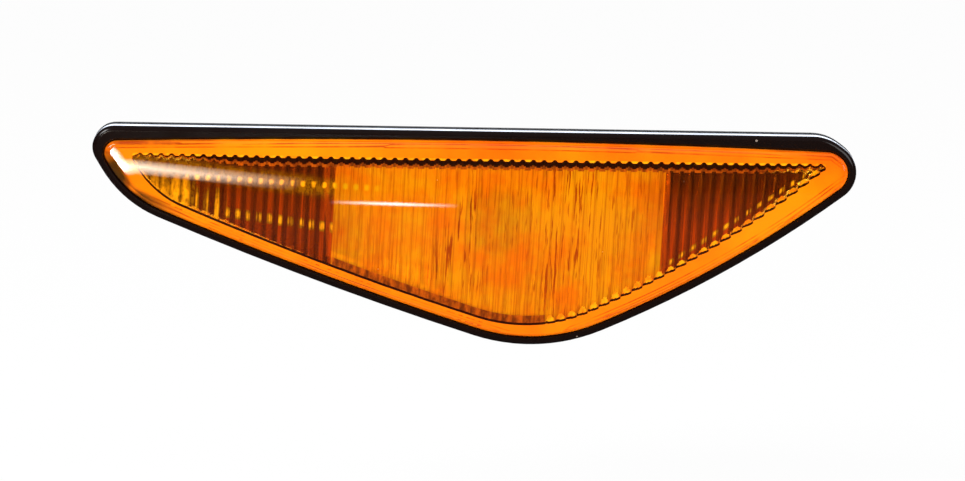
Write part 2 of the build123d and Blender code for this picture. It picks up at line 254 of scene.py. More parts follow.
def soft_max(first, second, blend):
    """The greater of two heights, with a rounded change from one to the other."""
    overlap = np.maximum(blend - np.abs(first - second), 0) / blend
    return np.maximum(first, second) + overlap**2 * blend / 4


def lifted(loop, y):
    """Flat points (X, Z) at the depths y."""
    return np.stack([loop[:, 0], np.broadcast_to(y, len(loop)), loop[:, 1]], axis=1)


def nearest(points, place):
    """Index of the point that is nearest to a place."""
    return np.argmin(((points - place) ** 2).sum(axis=1))


def loop_edges(start, count):
    """Edges of a closed loop of count points that begins at index start."""
    return [(start + i, start + (i + 1) % count) for i in range(count)]


def inside_loop(points, loop):
    """Which of the points lie inside a closed loop."""
    x, z = points.T
    inside = np.zeros(len(points), bool)
    for (x_a, z_a), (x_b, z_b) in zip(loop, np.roll(loop, -1, axis=0)):
        crosses = (z_a > z) != (z_b > z)
        if z_a != z_b:
            inside ^= crosses & (x < x_a + (x_b - x_a) * (z - z_a) / (z_b - z_a))
    return inside


def triangulate(points, edges):
    """Triangles of a set of points in the plane, inside the closed loops that edges give."""
    made = delaunay_2d_cdt([Vector(p) for p in points], edges, [], 1, WELD)
    return np.array([v[:] for v in made[0]]), [tuple(f) for f in made[2]]


def front_sheet(edge, inward, sides):
    """Outside of the lens: a crowned face that rolls over into drafted sides."""
    rings = [edge + depth * inward for depth in ROLL_DEPTHS]
    grid = np.array([(x, z) for x in FACE_X for z in FACE_Z])
    flat = np.concatenate(rings + [grid[room_inside(sides, grid) > FACE_ROOM]])
    flat, faces = triangulate(flat, loop_edges(0, len(edge)))
    x, z = flat.T
    room = room_inside(sides, flat)
    for depth, ring in zip(ROLL_DEPTHS, rings):
        for point in ring:
            room[nearest(flat, point)] = depth
    slope = SHOULDER_Y - room / math.tan(math.radians(LENS_DRAFT))
    nose = np.clip((NOSE_FROM - x) / NOSE_RUN, 0.0, 1.0)
    blend = LENS_EDGE_SOFTNESS + (NOSE_SOFTNESS - LENS_EDGE_SOFTNESS) * nose
    y = soft_max(crown_y(x, z, 0.0), slope, blend)
    return np.stack([x, y, z], axis=1), faces


def window_lines():
    """The flutes' lines across the window, as (u, lowest w, highest w) in the leaning axes."""
    top = straight_side(LEFT_NOSE, RIGHT_SHOULDER, WINDOW_TOP_INSET)
    sides = outline_sides(WINDOW_INSETS, top)
    sides[2] = round_side(WINDOW_RIGHT_CENTRE, WINDOW_RIGHT_RADIUS)
    loop, _ = edge_loop(sides, WINDOW_ROUNDS, WINDOW_STEP)
    x, z = loop.T
    across = x * LEAN_COS - z * LEAN_SIN
    along = x * LEAN_SIN + z * LEAN_COS
    step = FLUTE_PITCH / FLUTE_STEPS
    first = math.ceil(across.min() / step + LINE_MARGIN)
    last = math.floor(across.max() / step - LINE_MARGIN)
    lines = []
    for index in range(first, last + 1):
        u = index * step
        before = across - u
        after = np.roll(before, -1)
        hits = np.nonzero((before > 0) != (after > 0))[0]
        share = before[hits] / (before[hits] - after[hits])
        w = along[hits] + share * (np.roll(along, -1)[hits] - along[hits])
        lines.append((u, w.min(), w.max()))
    return lines


def window_sheet():
    """Plain strips that the flutes are raised on, with what the flute tree needs at each point."""
    lines = window_lines()
    flute = [math.floor(u / FLUTE_PITCH + LINE_NUDGE) for u, _, _ in lines]
    points = []
    marks = {"flute_u": [], "flute_w": [], "top_gap": [], "low_gap": []}
    for (u, low, high), number in zip(lines, flute):
        foot = low
        if u > STEPPED_FROM:
            highest = max(line[1] for line, other in zip(lines, flute) if other == number)
            foot += STEP_SHARE * (highest - low)
        share = min(1.0, (high - low) / (2 * END_STEPS[-1] + MIDDLE_ROOM))
        ends = share * END_STEPS
        middle = np.linspace(low + ends[-1], high - ends[-1], MIDDLE_STEPS)
        w = np.concatenate([low + ends[:-1], middle, high - ends[:-1][::-1]])
        x = u * LEAN_COS + w * LEAN_SIN
        z = -u * LEAN_SIN + w * LEAN_COS
        points.append(np.stack([x, inner_y(x, z), z], axis=1))
        for name, values in zip(marks, (np.full(len(w), u), w, high - w, w - foot)):
            marks[name].append(values)
    count = len(points[0])
    faces = []
    for line in range(len(lines) - 1):
        for step in range(count - 1):
            a = line * count + step
            faces.append((a, a + count, a + count + 1, a + 1))
    loop = [line * count for line in range(len(lines))]
    loop += [line * count + count - 1 for line in reversed(range(len(lines)))]
    return np.concatenate(points), faces, loop, {name: np.concatenate(v) for name, v in marks.items()}


def border_sheet(edge, inward, window_loop):
    """Inside of the lens from its edge to the window."""
    fill = np.concatenate([edge + depth * inward for depth in BORDER_DEPTHS])
    flat = np.concatenate([edge, window_loop, fill])
    edges = loop_edges(0, len(edge)) + loop_edges(len(edge), len(window_loop))
    flat, faces = triangulate(flat, edges)
    middles = np.array([flat[list(face)].mean(axis=0) for face in faces])
    hole = inside_loop(middles, window_loop)
    faces = [face for face, in_hole in zip(faces, hole) if not in_hole]
    return lifted(flat, inner_y(*flat.T)), faces


def store(mesh, name, kind, domain, values):
    """Keeps values on a mesh as an attribute."""
    mesh.attributes.new(name, kind, domain).data.foreach_set("value", values)


def lens_base_mesh():
    """Closed mesh of the lens with a plain window, marked for its frosted faces and for the flutes."""
    sides = outline_sides([RIM_WIDTH] * 4, top_bow(RIM_WIDTH))
    edge, inward = edge_loop(sides, [r - RIM_WIDTH for r in ROUNDS], EDGE_STEP)
    skirt = edge + SKIRT_WALL * inward
    front, front_faces = front_sheet(edge, inward, sides)
    window, window_faces, window_ends, marks = window_sheet()
    border, border_faces = border_sheet(edge, inward, window[window_ends][:, [0, 2]])
    shoulder_y = [front[nearest(front[:, [0, 2]], point), 1] for point in edge]
    edge_y = inner_y(*edge.T)
    ring = [
        lifted(edge, edge_y + RING_GAP),
        lifted(edge, LENS_BACK),
        lifted(skirt, LENS_BACK),
        lifted(skirt, inner_y(*skirt.T) + RING_GAP),
    ]
    walls = [(lifted(edge, shoulder_y), lifted(edge, edge_y)), *zip(ring, ring[1:] + ring[:1])]
    count = len(edge)
    around = [(i, j, count + j, count + i) for i, j in loop_edges(0, count)]
    sheets = [(front, front_faces), (border, border_faces), (window, window_faces)]
    sheets += [(np.concatenate(pair), around) for pair in walls]
    points = np.concatenate([sheet for sheet, _ in sheets])
    starts = np.cumsum([0] + [len(sheet) for sheet, _ in sheets]).tolist()
    in_border, in_window = slice(*starts[1:3]), slice(*starts[2:4])
    faces, frosted = [], []
    for start, (_, part) in zip(starts, sheets):
        faces += [tuple(start + i for i in face) for face in part]
        frosted += [part is border_faces or part is around] * len(part)
    mesh = bpy.data.meshes.new("amber_lens")
    mesh.from_pydata((points * MM).tolist(), [], faces)
    for name, mark in marks.items():
        values = np.zeros(len(points))
        values[in_window] = mark * MM
        store(mesh, name, "FLOAT", "POINT", values)
    edge_gap = np.zeros(len(points))
    edge_gap[in_border] = room_inside(sides, border[:, [0, 2]])
    edge_gap[in_window] = WINDOW_GAP
    fluted = np.zeros(len(points), bool)
    fluted[in_window] = True
    store(mesh, "edge_gap", "FLOAT", "POINT", edge_gap)
    store(mesh, "fluted", "BOOLEAN", "POINT", fluted)
    store(mesh, "frosted", "BOOLEAN", "FACE", np.array(frosted))
    return mesh


# Nodes; an input takes a plain value, another node's output, or a node for its first output


def put(value, socket):
    """Sets an input."""
    if isinstance(value, bpy.types.Node):
        value = value.outputs[0]
    if isinstance(value, bpy.types.NodeSocket):
        socket.id_data.links.new(value, socket)
    else:
        socket.default_value = value


def fed(node, **inputs):
    """A node with its inputs set, which are named with _ for a space."""
    for name, value in inputs.items():
        put(value, node.inputs[name.replace("_", " ")])
    return node


def new_node(tree, kind, **inputs):
    """A new node with its inputs set."""
    return fed(tree.nodes.new(kind), **inputs)


def new_tree(name, kind, inputs, outputs):
    """A node tree with inputs (name, kind, value) and outputs (name, kind).

    Gives the tree, what comes into it, what goes out of it and the identifiers of its inputs.
    """
    tree = bpy.data.node_groups.new(name, kind)
    ids = {}
    for label, sort, value in inputs:
        socket = tree.interface.new_socket(name=label, in_out="INPUT", socket_type="NodeSocket" + sort)
        if value is not None:
            socket.default_value = value
        ids[label] = socket.identifier
    for label, sort in outputs:
        tree.interface.new_socket(name=label, in_out="OUTPUT", socket_type="NodeSocket" + sort)
    given = tree.nodes.new("NodeGroupInput").outputs
    made = tree.nodes.new("NodeGroupOutput").inputs
    return tree, given, made, ids


def math_node(operation, *values):
    """A Math node, in the tree that its inputs come from."""
    tree = next(value.id_data for value in values if not isinstance(value, float))
    node = tree.nodes.new("ShaderNodeMath")
    node.operation = operation
    for value, socket in zip(values, node.inputs):
        put(value, socket)
    return node.outputs[0]


def chained(operation):
    """A function that joins values by one operation, from left to right."""

    def joined(first, *others):
        for other in others:
            first = math_node(operation, first, other)
        return first

    return joined


times, plus, minus = chained("MULTIPLY"), chained("ADD"), chained("SUBTRACT")
largest, smallest = chained("MAXIMUM"), chained("MINIMUM")
below, above = chained("LESS_THAN"), chained("GREATER_THAN")


def distance(value, middle):
    """How far a value is from a middle one."""
    return math_node("ABSOLUTE", minus(value, middle))


def ranged(value, low, high, to_low=0.0, to_high=1.0):
    """A value moved from one range into another, and held inside it."""
    ends = {"From Min": low, "From Max": high, "To Min": to_low, "To Max": to_high}
    return new_node(value.id_data, "ShaderNodeMapRange", Value=value, **ends).outputs["Result"]


def ranged_mm(value, low, high, *ends):
    """As ranged, from a range in millimetres."""
    return ranged(value, low * MM, high * MM, *ends)


def axes(place):
    """The X, Y and Z of a place."""
    return new_node(place.id_data, "ShaderNodeSeparateXYZ", Vector=place).outputs


# Geometry node trees

# What the flutes' tree is given: sizes in metres, and slopes
FLUTE_SIZES = {
    "Pitch": FLUTE_PITCH * MM,
    "Swell": FLUTE_SWELL * MM,
    "Depth": (CROWN_FRONT + LENS_WALL + PAD_HEIGHT) * MM,
    "Long Crown": CROWN_LENGTH_RADIUS * MM,
    "Cross Crown": FLUTE_CROWN_RADIUS * MM,
    "Top Slope": 0.8,
    "Low Slope": 1.3,
    "Scallop": 0.5 * MM,
    "Top Band": 1.15 * MM,
    "Top Shade": 1.9 * MM,
    "Low Line": 0.46 * MM,
    "Low Shade": 2.1 * MM,
    "Bead Glint Height": 1.25 * MM,
    "Lit Half": LIT_HALF * MM,
    "Stepped From": STEPPED_FROM * MM,
}
SHAPE_OUT = [("Geometry", "Geometry")]
GLINT_FOOT = 0.3
GLINT_ARCH = 2.8
NO_RUN = 0.000001
JOIN_REACH = 0.000005
COIL_ROOM = 0.1 * MM
COIL_STEPS = 10
WIRE_SIDES = 6


def named_value(tree, name, kind="FLOAT"):
    """An attribute read by name."""
    node = tree.nodes.new("GeometryNodeInputNamedAttribute")
    node.data_type = kind
    return fed(node, Name=name).outputs["Attribute"]


def coated(geometry, material, **selection):
    """A Set Material node after a piece of geometry, on all of it or on a selection."""
    inputs = {"Geometry": geometry, "Material": material, **selection}
    return new_node(geometry.id_data, "GeometryNodeSetMaterial", **inputs)


def point_axes(tree):
    """The X, Y and Z of each point."""
    return axes(tree.nodes.new("GeometryNodeInputPosition"))


def flute_phase(across, pitch):
    """Where a place lies on its flute, from 0 on one side to 1 on the other."""
    return math_node("FRACT", math_node("DIVIDE", across, pitch))


def arc_fall(radius, along):
    """How far a circle of this radius falls back, along from its top."""
    reach = minus(times(radius, radius), times(along, along))
    return minus(radius, math_node("SQRT", reach))


def flute_tree(finishes):
    """Raises leaning flutes on the window of the lens and gives the lens its finishes, painted shade
    and glints among them.
    """
    inputs = [("Geometry", "Geometry", None)]
    inputs += [(name, "Float", value) for name, value in FLUTE_SIZES.items()]
    inputs += [(name, "Material", value) for name, value in finishes.items()]
    tree, given, made, ids = new_tree("lens_flutes", "GeometryNodeTree", inputs, SHAPE_OUT)
    # Form: flutes on the crowned pad, cut by a scalloped slope at the top and a plain one below
    u, w = named_value(tree, "flute_u"), named_value(tree, "flute_w")
    top_gap, low_gap = named_value(tree, "top_gap"), named_value(tree, "low_gap")
    fluted = named_value(tree, "fluted", "BOOLEAN")
    phase = flute_phase(u, given["Pitch"])
    arch = times(phase, minus(1.0, phase))
    full_arch = times(arch, 4.0)
    flute_y = plus(
        given["Depth"],
        times(full_arch, given["Swell"]),
        arc_fall(given["Long Crown"], u),
        arc_fall(given["Cross Crown"], w),
    )
    point = point_axes(tree)
    top_run = largest(minus(top_gap, times(full_arch, given["Scallop"])), 0.0)
    low_run = largest(low_gap, 0.0)
    top_rise = times(top_run, given["Top Slope"])
    low_rise = times(low_run, given["Low Slope"])
    end_y = plus(point["Y"], smallest(top_rise, low_rise))
    y = largest(point["Y"], smallest(flute_y, end_y))
    raised = new_node(tree, "ShaderNodeCombineXYZ", X=point["X"], Y=y, Z=point["Z"])
    # Masks of painted light and shade: the dark top band thins towards both ends;
    # the feet get painted shade on the left and painted glints on the right
    on_right = above(u, given["Stepped From"])
    past_left = above(u, times(given["Lit Half"], -1.0))
    shaded_low = times(past_left, minus(1.0, on_right))
    tall = plus(top_gap, low_gap)
    thinned = ranged_mm(tall, 1.0, 12.0, 0.3, 1.0)
    thinned = times(thinned, ranged_mm(u, -60.0, -48.0, 0.35, 1.0))
    top_band = below(top_run, times(given["Top Band"], thinned))
    top_shade = below(top_run, times(given["Top Shade"], thinned))
    low_shade = times(below(low_run, given["Low Shade"]), shaded_low)
    low_line = below(low_run, given["Low Line"])
    rounded = plus(GLINT_FOOT, times(arch, GLINT_ARCH))
    rounded = times(rounded, ranged_mm(u, 30.0, 32.0, 1.35, 1.0))
    # Painted glints along the feet on the right, arched over each flute
    bead_glint = below(low_run, times(rounded, given["Bead Glint Height"]))
    shape = given["Geometry"]
    for name, mask in (
        ("shade", largest(top_shade, low_shade)),
        ("bead_glint", times(bead_glint, on_right)),
        # Painted shade: the dark top band and the dark line along the feet
        ("end_shade", largest(top_band, low_line)),
        ("top_bead_glint", below(top_run, NO_RUN)),
        ("bright_end", below(low_run, NO_RUN)),
    ):
        keep = tree.nodes.new("GeometryNodeStoreNamedAttribute")
        keep.data_type = "BOOLEAN"
        mask = times(mask, fluted)
        shape = fed(keep, Geometry=shape, Name=name, Value=mask)
    move = new_node(tree, "GeometryNodeSetPosition", Geometry=shape, Selection=fluted, Position=raised)
    solid = new_node(tree, "GeometryNodeRealizeInstances", Geometry=move)
    shape = coated(solid, given["Clear"])
    shape = coated(shape, given["Fluted"], Selection=fluted)
    for finish, name in (
        ("Shade", "shade"),
        ("Bead Glint", "bead_glint"),
        ("Flute End", "end_shade"),
        ("Bead Glint", "top_bead_glint"),
        ("Frosted", "bright_end"),
        ("Frosted", "frosted"),
    ):
        shape = coated(shape, given[finish], Selection=named_value(tree, name, "BOOLEAN"))
    put(shape, made["Geometry"])
    return tree, ids


def coil_tree(finish):
    """A straight wire coil along X, about a centre."""
    inputs = (
        ("Geometry", "Geometry", None),
        ("Length", "Float", 4.2 * MM),
        ("Coil Radius", "Float", 0.2 * MM),
        ("Wire Radius", "Float", 0.035 * MM),
        ("Turns", "Float", 22.0),
        ("Centre", "Vector", (0.0, 0.0, 0.0)),
        ("Finish", "Material", finish),
    )
    tree, given, made, ids = new_tree("filament_coil", "GeometryNodeTree", inputs, SHAPE_OUT)
    spiral = new_node(tree, "GeometryNodeCurveSpiral", Resolution=COIL_STEPS, Height=given["Length"])
    radius = given["Coil Radius"]
    fed(spiral, Rotations=given["Turns"], Start_Radius=radius, End_Radius=radius)
    point = point_axes(tree)
    along = minus(point["Z"], times(given["Length"], 0.5))
    laid = new_node(tree, "ShaderNodeCombineXYZ", X=along, Y=point["X"], Z=point["Y"])
    centred = tree.nodes.new("ShaderNodeVectorMath")
    for value, socket in zip((laid, given["Centre"]), centred.inputs):
        put(value, socket)
    move = new_node(tree, "GeometryNodeSetPosition", Geometry=spiral, Position=centred)
    section = new_node(tree, "GeometryNodeCurvePrimitiveCircle", Radius=given["Wire Radius"])
    fed(section, Resolution=WIRE_SIDES)
    ends = {"Profile Curve": section, "Fill Caps": True}
    tube = new_node(tree, "GeometryNodeCurveToMesh", Curve=move, **ends)
    solid = new_node(tree, "GeometryNodeRealizeInstances", Geometry=tube)
    put(coated(solid, given["Finish"]), made["Geometry"])
    return tree, ids


def add_object(name, data):
    """A new object in the scene."""
    added = bpy.data.objects.new(name, data)
    bpy.context.scene.collection.objects.link(added)
    return added


def grown(name, base, tree, values):
    """Plain mesh object from a base mesh and a geometry node tree with its inputs set."""
    source = add_object(name + "_source", base)
    growth = source.modifiers.new("growth", "NODES")
    growth.node_group = tree
    for identifier, value in values.items():
        growth[identifier] = value
    ready = source.evaluated_get(bpy.context.evaluated_depsgraph_get())
    mesh = bpy.data.meshes.new_from_object(ready)
    mesh.name = name
    source.modifiers.clear()
    bpy.data.objects.remove(source)
    return add_object(name, mesh)


def tidy_mesh(piece, angle):
    """Joins loose corners, points every face outwards and keeps edges sharper than angle crisp."""
    work = bmesh.new()
    work.from_mesh(piece.data)
    bmesh.ops.remove_doubles(work, verts=work.verts, dist=JOIN_REACH)
    bmesh.ops.dissolve_degenerate(work, edges=work.edges, dist=NO_RUN)
    bmesh.ops.recalc_face_normals(work, faces=work.faces)
    work.to_mesh(piece.data)
    work.free()
    smoothed(piece, angle)


def smoothed(piece, angle):
    """Smooth shading, with edges sharper than angle kept crisp."""
    piece.data.shade_smooth()
    piece.data.set_sharp_from_angle(angle=math.radians(angle))


# Materials

ACRYLIC_IOR = 1.49
GLASS_IOR = 1.5
AMBER_LIGHT = (1.0, 0.72, 0.2)
GLASS_LIGHT = (0.97, 0.98, 0.98)

# Bands of painted glints and glow over the flutes, in millimetres: start, slope, half width, left end
# and right end
TOP_ROW = (7.3, 0.0, 0.75, -58.0, -24.0)
END_ROWS = (
    (-3.0, -0.078, 1.1, -52.0, -31.0),
    (0.5, 0.0, 5.5, -68.0, -53.0),
    (-27.2, 0.729, 0.6, 33.0, 56.0),
)
NOSE_GLOW_BLOCKS = (3.0, 0.0, 5.5, -70.0, -59.0)
NOSE_GLOW = (4.75, -0.0645, 2.4, -70.0, -31.0)
ROW_FADE = 2.0
TOP_ROW_GAIN = 1.5
GLOW_SHARE = 0.24
GLINT_SHARE = 0.85
DIM_SHARE = 0.2
HAZE_SHARE = 0.5
YELLOW_GAIN = 0.12


def new_material(name):
    """An empty material with its node tree and its Principled shader."""
    material = bpy.data.materials.new(name)
    material.use_nodes = True
    return material, material.node_tree, material.node_tree.nodes["Principled BSDF"]


def object_place(tree):
    """Object coordinates, which are the frame's own metres."""
    return tree.nodes.new("ShaderNodeTexCoord").outputs["Object"]


def noise(place, scale=1.0, detail=3.0, roughness=0.5, stretch=None):
    """Noise value on a place, stretched along the axes if asked."""
    if stretch is not None:
        place = new_node(place.id_data, "ShaderNodeMapping", Vector=place, Scale=stretch)
    inputs = {"Vector": place, "Scale": scale, "Detail": detail, "Roughness": roughness}
    return new_node(place.id_data, "ShaderNodeTexNoise", **inputs).outputs["Fac"]


def between(share, first, second, kind="FLOAT"):
    """Value between two values by a share."""
    node = share.id_data.nodes.new("ShaderNodeMix")
    node.data_type = kind
    return fed(node, Factor=share, A=first, B=second).outputs["Result"]


def tinted(share, *colours):
    """Colour between two colours by a share."""
    first, second = ((*c, 1.0) if isinstance(c, tuple) else c for c in colours)
    return between(share, first, second, "RGBA")


def bumped(height, strength, reach):
    """Normal of a surface with a height on it."""
    inputs = {"Height": height, "Strength": strength, "Distance": reach}
    return new_node(height.id_data, "ShaderNodeBump", **inputs).outputs["Normal"]


def surfaced(share, first, second):
    """Makes a mix of two shaders the surface of a material, and gives the mix."""
    tree = share.id_data
    mix = tree.nodes.new("ShaderNodeMixShader")
    for value, socket in zip((share, first, second), mix.inputs):
        put(value, socket)
    fed(tree.nodes["Material Output"], Surface=mix)
    return mix


def let_light_in(shader, colour):
    """Lets light and soft bounces pass a clear piece straight, tinted, and still refracts the view."""
    tree = shader.id_data
    path = tree.nodes.new("ShaderNodeLightPath").outputs
    share = largest(path["Is Shadow Ray"], path["Is Diffuse Ray"])
    surfaced(share, shader, new_node(tree, "ShaderNodeBsdfTransparent", Color=(*colour, 1.0)))


def dust_group():
    """Shader group: scattered dust specks on an object, as a mask from 0 to 1."""
    inputs = (
        ("Place", "Vector", None),
        ("Spread", "Float", 400.0),
        ("Size", "Float", 0.12),
        ("Amount", "Float", 0.3),
    )
    group, given, made, _ = new_tree("dust_specks", "ShaderNodeTree", inputs, [("Mask", "Float")])
    cells = new_node(group, "ShaderNodeTexVoronoi", Vector=given["Place"], Scale=given["Spread"])
    cells = cells.outputs
    chance = new_node(group, "ShaderNodeSeparateColor", Color=cells["Color"]).outputs
    chosen = below(chance[0], given["Amount"])
    dot = below(cells["Distance"], times(chance[1], given["Size"]))
    put(times(dot, chosen), made["Mask"])
    return group


def grain_group():
    """Shader group: fine moulded grain as a height, and broad unevenness as a share."""
    inputs = (("Place", "Vector", None), ("Fine", "Float", 4000.0), ("Broad", "Float", 90.0))
    outputs = (("Height", "Float"), ("Share", "Float"))
    group, given, made, _ = new_tree("moulded_grain", "ShaderNodeTree", inputs, outputs)
    for name, output, detail in (("Fine", "Height", 2.0), ("Broad", "Share", 4.0)):
        put(noise(given["Place"], given[name], detail), made[output])
    return group


def placed(group, place, **values):
    """A shader group placed in a material with its own values."""
    node = place.id_data.nodes.new("ShaderNodeGroup")
    node.node_tree = group
    return fed(node, Place=place, **values).outputs


dust = dust_group()
grain = grain_group()


def made_of(recipe, light=None):
    """Material from a recipe, which turns a place into the inputs of a Principled shader.

    A clear piece also says how it tints the light that passes it.
    """
    material, tree, shader = new_material(recipe.__name__)
    fed(shader, **recipe(object_place(tree)))
    if light is not None:
        let_light_in(shader, light)
    return material


def amber_clear(place):
    """Clear amber acrylic, polished, with a few dust specks."""
    specks = placed(dust, place, Spread=260.0, Size=0.05, Amount=0.25)["Mask"]
    return dict(
        IOR=ACRYLIC_IOR,
        Transmission_Weight=1.0,
        Base_Color=tinted(specks, (1.0, 0.5, 0.03), (1.0, 0.75, 0.45)),
        Roughness=ranged(specks, 0.0, 1.0, 0.015, 0.4),
    )


def flute_place(place):
    """A place in the flutes' leaning axes, and how far it lies across and along the flutes."""
    turn = place.id_data.nodes.new("ShaderNodeVectorRotate")
    turn.rotation_type = "Y_AXIS"
    leaning = fed(turn, Vector=place, Angle=-FLUTE_LEAN)
    parts = axes(leaning)
    return leaning, parts["X"], parts["Z"]


def valley_share(across):
    """How near a place is to the valley between two flutes, from 0 on a flute's crest to 1."""
    return times(distance(flute_phase(across, FLUTE_PITCH * MM), 0.5), 2.0)


def near_to(across, middle, full, reach):
    """1 within full of a flute and 0 from reach on, all in millimetres across the flutes."""
    return ranged_mm(distance(across, middle * MM), full, reach, 1.0, 0.0)


def glint_row(across, along, start, slope, half, left, right):
    """Mask of a band on a slanting line over the flutes, in millimetres, that fades past its ends."""
    line = plus(times(across, slope), start * MM)
    near = ranged_mm(distance(along, line), 0.3 * half, half, 1.0, 0.0)
    begun = ranged_mm(across, left - ROW_FADE, left)
    ended = ranged_mm(across, right, right + ROW_FADE, 1.0, 0.0)
    return times(near, times(begun, ended))


def amber_fluted():
    """Fluted inside of the lens: clear amber with upright streaks, painted shade in the valleys and a
    warm haze.

    The haze is full in front of the reflector and thin and red towards the ends of the lens, where the
    amber is painted dark as shade and rows of painted glints and a painted glow sit on the flutes'
    crests.
    """
    material, tree, shader = new_material("amber_fluted")
    leaning, across, along = flute_place(object_place(tree))
    ripples = noise(leaning, detail=2.0, stretch=(1100.0, 1100.0, 90.0))
    streaks = noise(leaning, roughness=0.6, stretch=(1900.0, 300.0, 120.0))
    fine = noise(leaning, detail=2.0, stretch=(4200.0, 300.0, 60.0))
    breaks = noise(leaning, roughness=0.65, stretch=(1000.0, 400.0, 500.0))
    blotches = noise(leaning, 130.0, roughness=0.6)
    patches = noise(leaning, 60.0, detail=2.0)
    valley = valley_share(across)
    past = minus(math_node("ABSOLUTE", across), LIT_HALF * MM)
    side = ranged_mm(past, -0.1, 0.1)
    # In front of the reflector: streaks in two crowds, painted shade as lines in the valleys, combed
    # lower down
    crowded = largest(near_to(across, -7.0, 2.0, 6.0), near_to(across, 12.5, 3.0, 8.0))
    crowded = times(crowded, ranged_mm(along, -18.0, -8.0, 0.2, 1.0))
    marks = times(
        ranged(streaks, 0.55, 0.63),
        ranged(patches, 0.36, 0.56, 0.5, 1.0),
        ranged(crowded, 0.0, 1.0, 0.7, 1.25),
    )
    combed = times(ranged_mm(along, -4.0, 4.0, 0.55, 0.3), ranged(fine, 0.5, 0.68))
    lines = largest(marks, ranged(valley, 0.75, 1.0, 0.0, 0.55), combed)
    yellow = plus(blotches, times(near_to(across, 19.5, 1.0, 7.0), YELLOW_GAIN))
    yellow = ranged(yellow, 0.36, 0.62)
    body = tinted(yellow, (1.0, 0.36, 0.008), (1.0, 0.66, 0.03))
    streaked = tinted(lines, body, (0.42, 0.085, 0.004))
    # Painted glints: a row of yellow dots on the flute crests towards the left end
    top_row = times(glint_row(across, along, *TOP_ROW), TOP_ROW_GAIN)
    top_glints = times(top_row, ranged(valley, 0.1, 0.65, 0.8, 0.0))
    streaked = tinted(top_glints, streaked, (1.0, 0.9, 0.06))
    # Towards the ends the amber is painted dark red as shade, where the reflector does not light it
    fed(
        shader,
        IOR=ACRYLIC_IOR,
        Transmission_Weight=1.0,
        Roughness=0.16,
        Specular_Tint=(1.0, 0.35, 0.06, 1.0),
        Base_Color=tinted(side, streaked, (0.35, 0.07, 0.004)),
        Normal=bumped(ripples, 0.6, 0.0002),
    )
    # Towards the ends: a dim haze that is thinner at the top, and painted glints, bright blocks and a
    # warm glow
    dim = times(
        ranged_mm(along, 12.5, 2.5, 0.2, 1.6),
        ranged(valley, 0.15, 0.75, 1.0, 0.3),
        DIM_SHARE,
        ranged(fine, 0.35, 0.65, 0.5, 1.3),
        ranged_mm(across, -LIT_HALF, LIT_HALF, 0.7, 1.0),
    )
    glints = top_row
    for row in END_ROWS:
        mask = glint_row(across, along, *row)
        glints = largest(glints, times(mask, ranged(fine, 0.38, 0.56, 0.1, 1.2)))
    glints = times(glints, ranged(valley, 0.1, 0.65, 1.0, 0.0))
    glow_blocks = glint_row(across, along, *NOSE_GLOW_BLOCKS)
    glow_blocks = times(glow_blocks, ranged(valley, 0.5, 0.95, 1.0, 0.3))
    painted_glow = times(glint_row(across, along, *NOSE_GLOW), GLOW_SHARE)
    glints = largest(glints, largest(glow_blocks, painted_glow))
    glints = times(glints, ranged(breaks, 0.36, 0.58, 0.4, 1.2))
    spread = between(side, HAZE_SHARE, largest(dim, times(glints, GLINT_SHARE)))
    lit = ranged(glints, 0.0, 0.16)
    warm = tinted(lit, (0.95, 0.15, 0.01), (1.0, 0.62, 0.06))
    haze = new_node(tree, "ShaderNodeBsdfDiffuse", Color=tinted(side, streaked, warm))
    let_light_in(surfaced(spread, shader, haze), AMBER_LIGHT)
    return material


def amber_shade(place):
    """Mottled red-brown amber where the heads and feet of the flutes turn the light away."""
    leaning, across, _ = flute_place(place)
    mottle = noise(leaning, roughness=0.65, stretch=(900.0, 500.0, 400.0))
    mottle = ranged(mottle, 0.38, 0.62)
    tone = tinted(mottle, (0.14, 0.018, 0.002), (0.5, 0.13, 0.01))
    valley = ranged(valley_share(across), 0.6, 1.0, 0.0, 0.7)
    colour = tinted(valley, tone, (0.1, 0.012, 0.002))
    return dict(Base_Color=colour, Roughness=0.4, IOR=ACRYLIC_IOR)


def amber_bead_glint(place):
    """Painted glints on the arched feet and heads of the flutes, bright between valleys painted dark as
    shade.
    """
    _, across, _ = flute_place(place)
    tone = ranged(noise(place, 700.0, 2.0), 0.4, 0.6)
    bright = tinted(tone, (1.0, 0.36, 0.01), (1.0, 0.7, 0.06))
    valley = ranged(valley_share(across), 0.5, 0.85, 0.0, 0.85)
    colour = tinted(valley, bright, (0.4, 0.07, 0.004))
    return dict(Base_Color=colour, Roughness=0.35, IOR=ACRYLIC_IOR)


def amber_end_shade(place):
    """Painted shade, near black, on the flutes' steep upper ends, which turn the view down into the
    dark of the plastic, and on a line along their feet.
    """
    tone = noise(place, 500.0)
    colour = tinted(tone, (0.005, 0.001, 0.0005), (0.025, 0.003, 0.001))
    return dict(Base_Color=colour, Roughness=0.3, Specular_IOR_Level=0.1, IOR=ACRYLIC_IOR)


